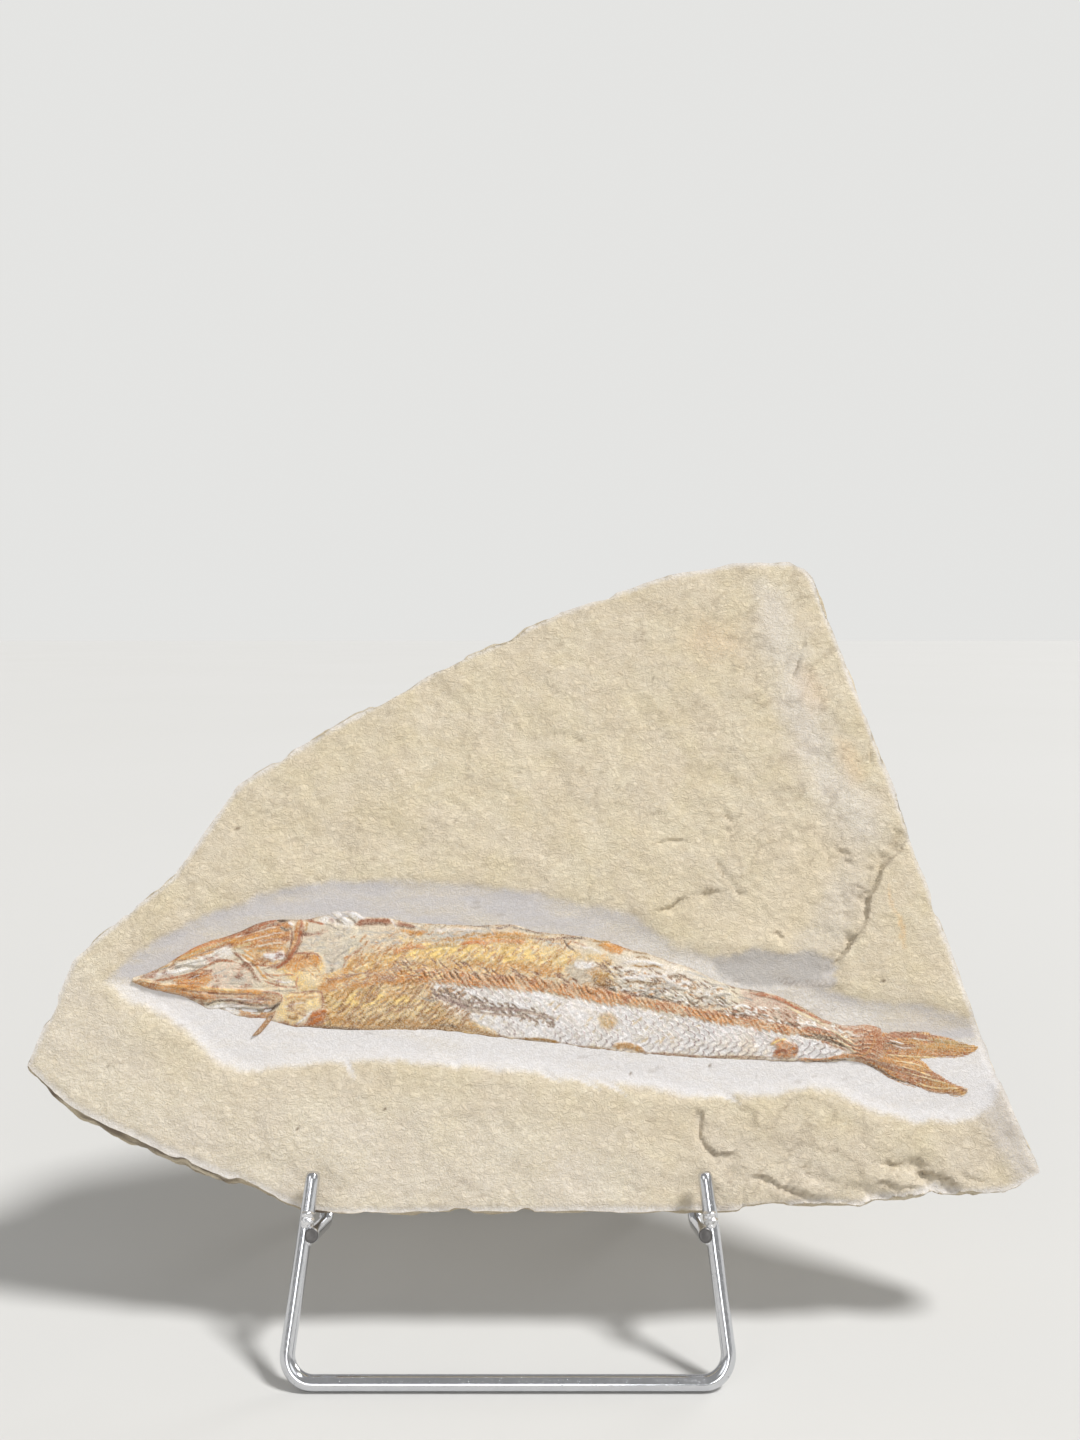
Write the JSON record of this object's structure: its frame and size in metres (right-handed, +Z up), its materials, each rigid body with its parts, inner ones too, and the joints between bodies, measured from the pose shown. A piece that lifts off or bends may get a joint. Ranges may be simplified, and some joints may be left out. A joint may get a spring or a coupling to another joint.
{
  "type": "fossil fish slab",
  "caption": "Thin broken slab of pale limestone with a long slender fossil fish in low relief on its face, leaning back on a small welded wire display stand.",
  "frame": {"origin": "middle of the object's footprint box, on the surface that the stand's two rails rest on", "axes": "+X along the slab from the fish's head to its tail, +Y from the front rail to the rear rail, +Z up"},
  "size_m": [0.2938, 0.1, 0.2225],
  "materials": {
    "limestone": "matt split stone with a low polished fossil",
    "chrome_wire": "bright chrome, slightly worn at the welds"
  },
  "bodies": {
    "root": {"slab": "limestone", "front_frame": "chrome_wire", "cradle": "chrome_wire", "rear_leg": "chrome_wire"}
  },
  "joints": []
}
